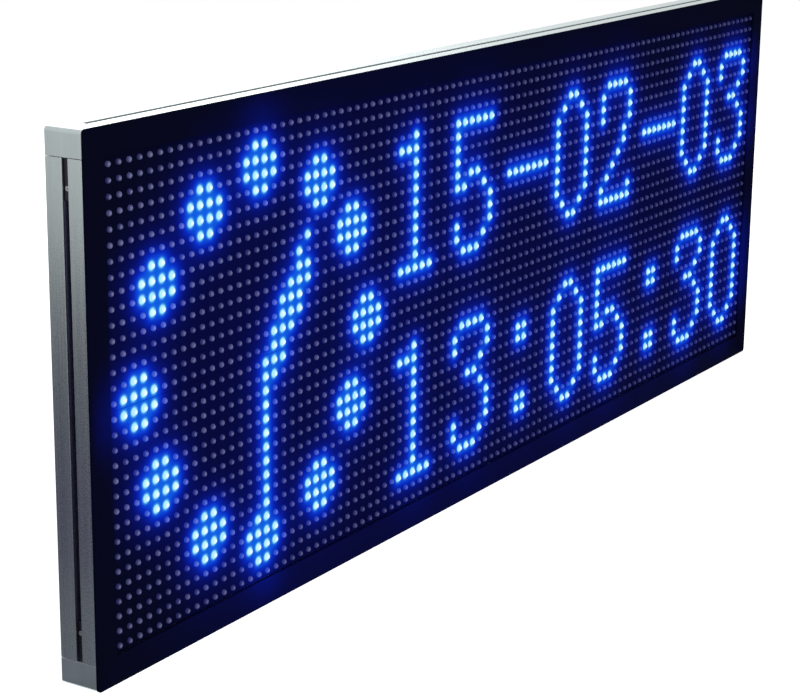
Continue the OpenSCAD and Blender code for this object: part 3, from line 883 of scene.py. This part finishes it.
class Tools:
    """Short forms of the modelling operators."""

    @staticmethod
    def clear() -> None:
        """Leaves edit mode with nothing selected."""
        if bpy.context.object is not None and bpy.context.object.mode != "OBJECT":
            bpy.ops.object.mode_set(mode="OBJECT")
        bpy.ops.object.select_all(action="DESELECT")

    @staticmethod
    def only(piece: Piece) -> None:
        """Selects one piece alone and makes it active.

        Args:
            piece: the piece.
        """
        Tools.clear()
        piece.select_set(True)
        bpy.context.view_layer.objects.active = piece

    @staticmethod
    def edit(piece: Piece, pick: Pick = Pick.FACES) -> None:
        """Enters edit mode on a piece, with nothing selected.

        Args:
            piece: the piece.
            pick: what is selected there.
        """
        Tools.only(piece)
        bpy.ops.object.mode_set(mode="EDIT")
        bpy.ops.mesh.select_mode(type=pick.value)
        bpy.ops.mesh.select_all(action="DESELECT")

    @staticmethod
    def pick_faces(piece: Piece, keep: Callable[[bpy.types.MeshPolygon], bool]) -> None:
        """Selects the faces that a test keeps, in edit mode.

        Args:
            piece: the piece, in edit mode.
            keep: a test on a face.
        """
        bpy.ops.object.mode_set(mode="OBJECT")
        for face in piece.data.polygons:
            face.select = bool(keep(face))
        bpy.ops.object.mode_set(mode="EDIT")

    @staticmethod
    def pick_facing(piece: Piece, facing: Facing) -> None:
        """Selects the faces that look up or down, in edit mode."""
        Tools.pick_faces(piece, lambda face: face.normal.z * facing.value > FACING)

    @staticmethod
    def extrude(move: Place) -> None:
        """Extrudes the selected faces by a move."""
        bpy.ops.mesh.extrude_region_move(TRANSFORM_OT_translate={"value": move})

    @staticmethod
    def close() -> None:
        """Turns all faces outwards and leaves edit mode."""
        bpy.ops.mesh.select_all(action="SELECT")
        bpy.ops.mesh.normals_make_consistent(inside=False)
        bpy.ops.object.mode_set(mode="OBJECT")

    @staticmethod
    def settle(piece: Piece, name: str) -> Piece:
        """Puts a piece's place, turn and scale into its mesh and names it.

        Args:
            piece: the piece.
            name: its name.

        Returns:
            The piece.
        """
        Tools.only(piece)
        bpy.ops.object.transform_apply(location=True, rotation=True, scale=True)
        piece.name = name
        piece.data.name = name
        return piece

    @staticmethod
    def repeat(first: Piece, places: Iterable[Vector], name: str) -> Piece:
        """Copies a piece to several places and joins the copies.

        Args:
            first: the piece, at the origin. It is used up.
            places: where the copies go.
            name: the joined piece's name.

        Returns:
            The joined piece.
        """
        Tools.clear()
        copies = []
        for place in places:
            copy = first.copy()
            copy.data = first.data.copy()
            copy.data.transform(Matrix.Translation(place))
            bpy.context.scene.collection.objects.link(copy)
            copy.select_set(True)
            copies.append(copy)
        bpy.data.objects.remove(first)
        bpy.context.view_layer.objects.active = copies[0]
        bpy.ops.object.join()
        return Tools.settle(copies[0], name)

    @staticmethod
    def read(items: bpy.types.bpy_prop_collection, key: str) -> np.ndarray:
        """Reads one place from each of a mesh's vertices or faces.

        Args:
            items: the vertices or the faces.
            key: the property that holds the place.

        Returns:
            The places, one to a row.
        """
        flat = np.zeros(len(items) * 3, np.float32)
        items.foreach_get(key, flat)
        return flat.reshape(-1, 3)

    @staticmethod
    def points(piece: Piece) -> np.ndarray:
        """Returns the places of a piece's vertices."""
        return Tools.read(piece.data.vertices, "co")


@dataclass
class LitField:
    """The lamps that are lit, read from the CAD nodes, and the light that they spill.

    Attributes:
        core: strength of the light right beside a lit lamp, and its reach in pitches.
        skirt: the same of the light round it.
        veil: the same of the faint light all over the front.
        known: columns and rows of the lit cells.
        centres: places of their middles.
    """

    core: Span = (3.0, 0.6)
    skirt: Span = (0.62, 0.655)
    veil: Span = (0.00074, 14.0)
    known: set[tuple[int, int]] = field(init=False)
    centres: np.ndarray = field(init=False)

    def __post_init__(self) -> None:
        """Finds the lit cells."""
        cells = np.concatenate([self.cells_of(LampState.LIT, number) for number in MODULES])
        self.known = {tuple(cell) for cell in cells}
        self.centres = LAYOUT.centre(cells)
        log.info("%d lamps are lit", len(cells))

    @staticmethod
    def cells_of(state: LampState, number: int) -> np.ndarray:
        """Returns the cells of one module's lamps that are dark or lit."""
        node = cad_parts[f"lamps_{state.value}_{number}"]
        return np.unique(LAYOUT.cell(Tools.points(node)), axis=0)

    def spill(self, points: np.ndarray) -> np.ndarray:
        """Adds up the light spilt at places on the front.

        Args:
            points: the places.

        Returns:
            The light, 0 to 1, which levels off where many lamps add up.
        """
        total = np.zeros(len(points))
        for x, _, z in self.centres:
            away = np.hypot(points[:, 0] - x, points[:, 2] - z) / LAYOUT.pitch
            core = self.core[0] * np.exp(-((away / self.core[1]) ** 2))
            skirt = self.skirt[0] * np.exp(-away / self.skirt[1])
            total += core + skirt + self.veil[0] * np.exp(-away / self.veil[1])
        return 1.0 - np.exp(-total)

    def store_spill(self, piece: Piece, points: np.ndarray, part: np.ndarray | float = 1.0) -> None:
        """Stores a part of the light spilt at one place for each of a piece's vertices."""
        values = (self.spill(points) * part).astype(np.float32)
        piece.data.attributes.new(SPILL, "FLOAT", "POINT").data.foreach_set("value", values)

    def store_front(self, piece: Piece, deep: float, share: float = 1.0) -> None:
        """Stores the spilt light and the lit cells on the front of a piece's mesh.

        Args:
            piece: the piece, whose other sides stay dark.
            deep: how far behind the front the light reaches.
            share: share of the light that reaches the front.
        """
        points = Tools.points(piece)
        edge = points[:, 1].min() + deep
        self.store_spill(piece, points, share * (points[:, 1] < edge))
        middles = Tools.read(piece.data.polygons, "center")
        known = [tuple(cell) in self.known for cell in LAYOUT.cell(middles)]
        lit = (np.array(known) & (middles[:, 1] < edge)).astype(np.float32)
        piece.data.attributes.new(OWN, "FLOAT", "FACE").data.foreach_set("value", lit)


@dataclass
class LampDomes:
    """The round lamps: a short straight body under a dome.

    Attributes:
        radius: radius of the body.
        body: height of the body.
        rise: height of the dome.
        sides: sides of the body.
        rings: the dome's rings, as shares of its rise and of the radius.
        smooth: sharpest bend that is shaded smooth.
    """

    radius: float = 2.0 * MM
    body: float = 1.0 * MM
    rise: float = 1.2 * MM
    sides: int = 12
    rings: Sequence[Span] = ((0.42, 0.82), (0.75, 0.56), (0.94, 0.30))
    smooth: float = math.radians(60.0)

    def one(self) -> Piece:
        """Models one lamp with its base at the origin and its dome towards -Y.

        Returns:
            The lamp.
        """
        Tools.clear()
        bpy.ops.mesh.primitive_cylinder_add(
            vertices=self.sides, radius=self.radius, depth=self.body,
            location=(0.0, 0.0, self.body / 2))
        lamp = Tools.settle(bpy.context.object, "lamp_one")
        Tools.edit(lamp)
        Tools.pick_facing(lamp, Facing.UP)
        height, width = 0.0, 1.0
        for up, wide in self.rings:
            Tools.extrude((0.0, 0.0, (up - height) * self.rise))
            bpy.ops.transform.resize(value=(wide / width, wide / width, 1.0))
            height, width = up, wide
        bpy.ops.object.mode_set(mode="OBJECT")
        lamp.rotation_euler = (math.pi / 2, 0.0, 0.0)
        Tools.settle(lamp, "lamp_one")
        bpy.ops.object.shade_smooth_by_angle(angle=self.smooth)
        return lamp

    def build(self, state: LampState, number: int) -> Piece:
        """Models one module's lamps that are dark or lit.

        Args:
            state: dark or lit.
            number: the module's number.

        Returns:
            The lamps, as one piece.
        """
        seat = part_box(f"board_{number}")[0].y
        middles = LAYOUT.centre(LitField.cells_of(state, number))
        places = [Vector((x, seat, z)) for x, _, z in middles]
        return Tools.repeat(self.one(), places, f"lamp_domes_{state.value}_{number}")

    def dress(self, dresser: Dresser, lit: LitField) -> None:
        """Builds every module's lamps and gives them their lenses.

        Args:
            dresser: the finishes.
            lit: the lit lamps.
        """
        for number in MODULES:
            for state in LampState:
                lamps = self.build(state, number)
                lit.store_spill(lamps, LAYOUT.centre(LAYOUT.cell(Tools.points(lamps))))
                look = Look[f"LAMP_{state.name}"]
                node = f"lamps_{state.value}_{number}"
                dresser.dress_piece(lamps, look, node)


@dataclass
class LampBoards:
    """The black lamp boards, with faces small enough to carry the spilt light.

    Attributes:
        columns: lamp columns on a board.
        rows: lamp rows on a board.
        split: faces to a lamp cell each way.
        deep: how far behind the front the spilt light reaches.
    """

    columns: int = 32
    rows: int = 16
    split: int = 4
    deep: float = 0.1 * MM

    def build(self, number: int) -> Piece:
        """Models one board in its CAD node's place.

        Args:
            number: the board's number.

        Returns:
            The board.
        """
        low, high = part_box(f"board_{number}")
        size = high - low
        middle = (low + high) / 2
        Tools.clear()
        bpy.ops.mesh.primitive_grid_add(
            x_subdivisions=self.columns * self.split, y_subdivisions=self.rows * self.split,
            size=1.0, location=(middle.x, low.y, middle.z), rotation=(math.pi / 2, 0.0, 0.0))
        board = bpy.context.object
        board.scale = (size.x, size.z, 1.0)
        Tools.settle(board, f"lamp_board_{number}")
        Tools.edit(board)
        bpy.ops.mesh.select_all(action="SELECT")
        Tools.extrude((0.0, size.y, 0.0))
        rear = (middle.y + high.y) / 2
        Tools.pick_faces(board, lambda face: face.center.y > rear)
        bpy.ops.mesh.dissolve_limited(angle_limit=FLAT)
        Tools.close()
        return board

    def dress(self, dresser: Dresser, lit: LitField) -> None:
        """Builds every board and gives it the black front with its glow.

        Args:
            dresser: the finishes.
            lit: the lit lamps.
        """
        for number in MODULES:
            board = self.build(number)
            lit.store_front(board, self.deep)
            dresser.dress_piece(board, Look.FRONT, f"board_{number}")


@dataclass
class BezelStrips:
    """The black strips round the boards, cut finely enough to carry the spilt light.

    Attributes:
        shares: the strips' sides and the share of the spilt light that reaches each.
        step: distance between the cuts.
        plate: depth of a strip's flat part, with a little to spare.
    """

    shares: Sequence[tuple[Side, float]] = (
        (Side.TOP, 0.85),
        (Side.BOTTOM, 1.15),
        (Side.LEFT, 0.8),
        (Side.RIGHT, 1.0),
    )
    step: float = 10 * MM
    plate: float = 1.7 * MM

    def build(self, side: Side) -> Piece:
        """Models one strip from a merged copy of its CAD node.

        Args:
            side: the strip's side.

        Returns:
            The strip.
        """
        node = f"bezel_{side.value}"
        Tools.clear()
        strip = bpy.data.objects.new(f"bezel_strip_{side.value}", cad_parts[node].data.copy())
        strip.data.name = strip.name
        bpy.context.scene.collection.objects.link(strip)
        low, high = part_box(node)
        Tools.edit(strip, Pick.POINTS)
        bpy.ops.mesh.select_all(action="SELECT")
        bpy.ops.mesh.remove_doubles(threshold=MERGE)
        bpy.ops.mesh.dissolve_limited(angle_limit=FLAT)
        along = Axis.X if side in (Side.TOP, Side.BOTTOM) else Axis.Z
        axis = along.value.index(1.0)
        for cut in range(1, int((high[axis] - low[axis]) / self.step) + 1):
            place = Vector(low)
            place[axis] += cut * self.step
            bpy.ops.mesh.select_all(action="SELECT")
            bpy.ops.mesh.bisect(plane_co=place, plane_no=along.value)
        Tools.close()
        return strip

    def dress(self, dresser: Dresser, lit: LitField) -> None:
        """Builds every strip and gives it the black front with its glow.

        Args:
            dresser: the finishes.
            lit: the lit lamps.
        """
        for side, share in self.shares:
            strip = self.build(side)
            lit.store_front(strip, self.plate, share)
            dresser.dress_piece(strip, Look.FRONT, f"bezel_{side.value}")


@dataclass
class ScrewSet:
    """Pan-head screws with a cross recess, in place of a CAD node's plain ones.

    Attributes:
        node: the CAD node.
        length: length of a shank.
        head: diameter of a head.
        height: height of a head.
        shank: diameter of a shank.
        sides: sides of a head.
        round_off: rounding of a head's rim.
        round_steps: faces across that rounding.
        slot_long: length of a recess's arm.
        slot_wide: width of a recess's arm.
        slot_deep: depth of a recess.
        taper: length and width of an arm's foot, as shares.
        smooth: sharpest bend that is shaded smooth.
    """

    node: str
    length: float
    head: float = 5.5 * MM
    height: float = 1.3 * MM
    shank: float = 3.0 * MM
    sides: int = 24
    round_off: float = 0.55 * MM
    round_steps: int = 3
    slot_long: float = 2.9 * MM
    slot_wide: float = 0.75 * MM
    slot_deep: float = 0.8 * MM
    taper: Span = (0.55, 0.7)
    smooth: float = math.radians(32.0)

    def places(self) -> list[Vector]:
        """Finds the middle of each head's seat on the CAD node's mesh.

        Returns:
            The places.
        """
        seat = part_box(self.node)[1].y - self.height
        found: list[list[np.ndarray]] = []
        for point in Tools.points(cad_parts[self.node]):
            for group in found:
                away = point - group[0]
                if np.hypot(away[0], away[2]) < 2 * self.head:
                    group.append(point)
                    break
            else:
                found.append([point])
        middles = [(np.min(group, axis=0) + np.max(group, axis=0)) / 2 for group in found]
        return [Vector((float(middle[0]), seat, float(middle[2]))) for middle in middles]

    def cutter(self) -> Piece:
        """Models the cross that cuts a head's recess.

        Returns:
            The cross, along Z over the origin.
        """
        Tools.clear()
        bpy.ops.mesh.primitive_cube_add(size=1.0, location=(0.0, 0.0, self.height))
        cross = bpy.context.object
        cross.scale = (self.slot_long, self.slot_wide, 2 * self.slot_deep)
        Tools.settle(cross, "recess_cutter")
        Tools.edit(cross)
        Tools.pick_facing(cross, Facing.DOWN)
        bpy.ops.transform.resize(value=(*self.taper, 1.0))
        bpy.ops.mesh.select_all(action="SELECT")
        bpy.ops.mesh.duplicate()
        bpy.ops.transform.rotate(
            value=math.pi / 2, orient_axis="Z", center_override=(0.0, 0.0, 0.0))
        bpy.ops.object.mode_set(mode="OBJECT")
        return cross

    def one(self) -> Piece:
        """Models one screw, its head's seat at the origin and its head towards +Y.

        Returns:
            The screw.
        """
        cross = self.cutter()
        Tools.clear()
        bpy.ops.mesh.primitive_cylinder_add(
            vertices=self.sides, radius=self.head / 2, depth=self.height,
            location=(0.0, 0.0, self.height / 2))
        screw = Tools.settle(bpy.context.object, self.node + "_one")
        Tools.edit(screw)
        Tools.pick_facing(screw, Facing.UP)
        bpy.ops.mesh.bevel(offset=self.round_off, segments=self.round_steps, affect="EDGES")
        Tools.pick_facing(screw, Facing.DOWN)
        bpy.ops.mesh.inset(thickness=(self.head - self.shank) / 2)
        Tools.extrude((0.0, 0.0, -self.length))
        bpy.ops.object.mode_set(mode="OBJECT")
        cut = screw.modifiers.new("recess", "BOOLEAN")
        cut.operation = "DIFFERENCE"
        cut.solver = "EXACT"
        cut.use_self = True
        cut.object = cross
        Tools.only(screw)
        bpy.ops.object.modifier_apply(modifier=cut.name)
        bpy.data.objects.remove(cross)
        screw.rotation_euler = (-math.pi / 2, 0.0, 0.0)
        Tools.settle(screw, self.node + "_one")
        bpy.ops.object.shade_smooth_by_angle(angle=self.smooth)
        return screw

    def dress(self, dresser: Dresser) -> None:
        """Builds the set and gives it the zinc finish."""
        piece = Tools.repeat(self.one(), self.places(), self.node + "_recessed")
        dresser.dress_piece(piece, Look.SCREW, self.node)


@dataclass
class NodeGroup:
    """CAD nodes that keep their shape.

    Attributes:
        nodes: the nodes' names by their finish.
    """

    nodes: dict[Look, Sequence[str]]

    def dress(self, dresser: Dresser) -> None:
        """Gives each node its finish.

        Args:
            dresser: the finishes.
        """
        for look, names in self.nodes.items():
            for name in names:
                dresser.dress(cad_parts[name], look)


@dataclass
class MetalFrame(NodeGroup):
    """The slotted rails and the corner pieces."""

    nodes: dict[Look, Sequence[str]] = field(default_factory=lambda: {
        Look.RAIL_ACROSS: ["rail_top", "rail_bottom"],
        Look.RAIL_UPRIGHT: ["rail_left", "rail_right"],
        Look.CORNER: [
            f"corner_{level}_{side}" for level in ("top", "bottom") for side in ("left", "right")],
        Look.SCREW: ["corner_screws"],
    })


@dataclass
class BackPanel(NodeGroup):
    """The vented back cover with its screws and its grommet.

    Attributes:
        cover_screw: length of a cover screw's shank.
        supply_screw: length of a supply screw's shank.
    """

    nodes: dict[Look, Sequence[str]] = field(default_factory=lambda: {
        Look.COVER: ["back_cover"],
        Look.GROMMET: ["mains_grommet"],
    })
    cover_screw: float = 5 * MM
    supply_screw: float = 6 * MM

    def dress(self, dresser: Dresser) -> None:
        """Gives the cover, the grommet and the screws their finishes.

        Args:
            dresser: the finishes.
        """
        super().dress(dresser)
        ScrewSet("cover_screws", self.cover_screw).dress(dresser)
        ScrewSet("supply_screws", self.supply_screw).dress(dresser)


@dataclass
class InnerParts(NodeGroup):
    """What lies between the lamp boards and the back cover."""

    nodes: dict[Look, Sequence[str]] = field(default_factory=lambda: {
        Look.SHELL: [f"shell_{number}" for number in MODULES],
        Look.CROSSBAR: [f"crossbar_{number}" for number in CROSSBARS],
        Look.CHIP: ["driver_chips"],
        Look.HEADER: ["ribbon_headers", "supply_terminals", "card_parts"],
        Look.SOCKET: ["power_sockets"],
        Look.RIBBON: ["ribbon_jumpers", "row_ribbons"],
        Look.LOOM: ["power_loom"],
        Look.SUPPLY: ["power_supply"],
        Look.CARD: ["control_card"],
        Look.BRASS: ["card_standoffs"],
        Look.SCREW: ["module_screws", "foot_screws"],
    })


@dataclass
class SoftBox:
    """An area lamp.

    Attributes:
        name: its name.
        place: where it hangs.
        aim: where it points.
        power: its power in watts.
        width: its width.
        height: its height.
    """

    name: str
    place: Place
    aim: Place
    power: float
    width: float
    height: float

    def hang(self) -> None:
        """Adds the lamp to the scene."""
        light = bpy.data.lights.new(self.name, "AREA")
        light.shape = "RECTANGLE"
        light.size = self.width
        light.size_y = self.height
        light.energy = self.power
        lamp = bpy.data.objects.new(self.name, light)
        lamp.location = self.place
        lamp.rotation_euler = turn_to(self.place, self.aim).to_euler()
        lamp.visible_camera = False
        bpy.context.scene.collection.objects.link(lamp)


@dataclass
class Studio:
    """White sweep, soft lamps, dark cards and the world behind them.

    Attributes:
        floor_size: width of the floor.
        floor_albedo: colour of the floor under lamps.
        floor_lift: light that the floor adds for the camera and for reflections.
        sky: light from all round on rough surfaces.
        card_long: length of a card from front to rear.
        card_up: height of a card over the floor.
        card_hidden: the rays that don't meet a card.
        cards: near and far edge of each card beside an end, from the sign's middle, and its colour.
        lamps: the soft boxes.
    """

    floor_size: float = 24.0
    floor_albedo: Color = (0.82, 0.82, 0.82)
    floor_lift: float = 0.88
    sky: float = 0.15
    card_long: float = 2.4
    card_up: float = 2 * MM
    card_hidden: Sequence[str] = ("camera", "diffuse", "shadow", "transmission", "volume_scatter")
    cards: Sequence[tuple[float, float, Color]] = (
        (0.486, 0.640, (0.245, 0.242, 0.29)),
        (0.640, 1.450, (0.15, 0.14, 0.22)),
    )
    lamps: Sequence[SoftBox] = (
        SoftBox("key_box", (-0.95, -0.7, 0.75), (-0.3, 0.0, 0.18), 9.0, 0.6, 0.6),
        SoftBox("rear_box", (0.9, 1.5, 1.5), (0.1, 0.0, 0.18), 30.0, 1.6, 1.6),
    )

    def build_floor(self) -> None:
        """Lays the white floor."""
        Tools.clear()
        bpy.ops.mesh.primitive_plane_add(size=self.floor_size, location=(0.0, 0.0, 0.0))
        floor = bpy.context.object
        floor.name = "studio_floor"
        graph = Graph(bpy.data.materials.new("studio_white"))
        graph.set(
            Base_Color=self.floor_albedo, Roughness=1.0, Specular_IOR_Level=0.0,
            Emission_Color=WHITE)
        graph.feed(Emission_Strength=graph.math("MULTIPLY", graph.seen(), self.floor_lift))
        floor.data.materials.append(graph.owner)

    def build_cards(self) -> None:
        """Lays the dark cards beside each end, which only reflections see."""
        for number, (near, far, color) in enumerate(self.cards):
            graph = Graph(bpy.data.materials.new(f"studio_dark_{number}"))
            graph.set(Base_Color=color, Specular_IOR_Level=0.0)
            for side, way in ((Side.LEFT, -1.0), (Side.RIGHT, 1.0)):
                Tools.clear()
                middle = (way * (near + far) / 2, 0.0, self.card_up)
                bpy.ops.mesh.primitive_plane_add(size=1.0, location=middle)
                card = bpy.context.object
                card.scale = (far - near, self.card_long, 1.0)
                card.name = f"studio_card_{side.value}_{number}"
                for kind in self.card_hidden:
                    setattr(card, "visible_" + kind, False)
                card.data.materials.append(graph.owner)

    def build_world(self) -> None:
        """Sets the world white where it is seen and softer where it lights."""
        graph = Graph(bpy.data.worlds.new("studio_world"))
        graph.set(Color=WHITE)
        graph.feed(Strength=graph.fit(graph.seen(), UNIT, (self.sky, 1.0)))
        bpy.context.scene.world = graph.owner

    def build(self) -> None:
        """Builds the floor, the cards, the world and the lamps."""
        self.build_floor()
        self.build_cards()
        self.build_world()
        for lamp in self.lamps:
            lamp.hang()
        bpy.context.scene.view_settings.view_transform = "Standard"
        log.info("studio with %d lamps", len(self.lamps))


@dataclass
class PhotoCamera:
    """The camera at the photograph's place.

    Attributes:
        place: where it stands.
        aim: a point in the middle of the picture.
        roll: turn about its own axis in degrees, anticlockwise.
        lens: focal length in mm.
        sensor: width of the sensor in mm.
        clip: nearest distance that it sees.
    """

    place: Place = (-1.4621, -0.8441, 0.5691)
    aim: Place = (-0.1244, 0.0, 0.1380)
    roll: float = 0.625
    lens: float = 97.46
    sensor: float = 36.0
    clip: float = 0.05

    def build(self) -> None:
        """Adds the camera and makes it the scene's."""
        data = bpy.data.cameras.new("photo_camera")
        data.lens = self.lens
        data.sensor_width = self.sensor
        data.clip_start = self.clip
        camera = bpy.data.objects.new("photo_camera", data)
        look = turn_to(self.place, self.aim).to_matrix().to_4x4()
        turn = Matrix.Rotation(math.radians(self.roll), 4, "Z")
        camera.matrix_world = Matrix.Translation(Vector(self.place)) @ look @ turn
        bpy.context.scene.collection.objects.link(camera)
        bpy.context.scene.camera = camera


def main() -> None:
    """Builds the sign's looks, the studio and the camera."""
    logging.basicConfig(level=logging.INFO, format="%(name)s: %(message)s")
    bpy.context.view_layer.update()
    dresser = Dresser()
    lit = LitField()
    LampBoards().dress(dresser, lit)
    LampDomes().dress(dresser, lit)
    BezelStrips().dress(dresser, lit)
    MetalFrame().dress(dresser)
    BackPanel().dress(dresser)
    InnerParts().dress(dresser)
    Studio().build()
    PhotoCamera().build()


if __name__ == "__main__":
    main()
